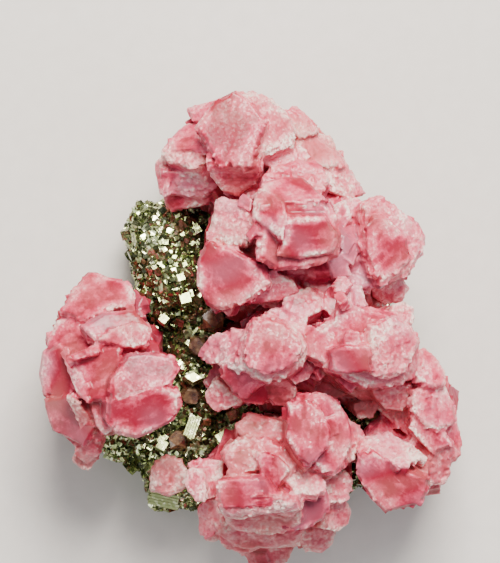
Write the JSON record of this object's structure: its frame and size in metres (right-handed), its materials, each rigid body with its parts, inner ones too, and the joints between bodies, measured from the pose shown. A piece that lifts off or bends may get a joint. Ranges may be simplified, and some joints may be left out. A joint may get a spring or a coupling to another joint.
{
  "type": "rhodochrosite specimen",
  "caption": "Rhodochrosite crystals grown in rose-like clusters on a plate of fine-grained pyrite with sphalerite, lying on its flat broken back.",
  "frame": {"origin": "middle of the underside of the whole specimen's box, on the flat broken back that it rests on", "axes": "+Y up the specimen as it was pictured, +X to the picture's right, +Z out of the crystals' front, towards the viewer"},
  "size_m": [0.0766, 0.0868, 0.0447],
  "materials": {
    "rhodochrosite": "translucent rose-pink crystal with flat vitreous faces and pale frosted edges",
    "pyrite": "bright pale-brass metallic grains, dark olive between them",
    "sphalerite": "dark brown resinous crystal"
  },
  "bodies": {
    "root": {"rhodochrosite_cluster": "rhodochrosite", "rhodochrosite_rosette": "rhodochrosite", "rhodochrosite_lone_crystal": "rhodochrosite", "pyrite_matrix": "pyrite", "sphalerite_crystal_1": "sphalerite", "sphalerite_crystal_2": "sphalerite", "sphalerite_crystal_3": "sphalerite", "sphalerite_crystal_4": "sphalerite"}
  },
  "joints": []
}
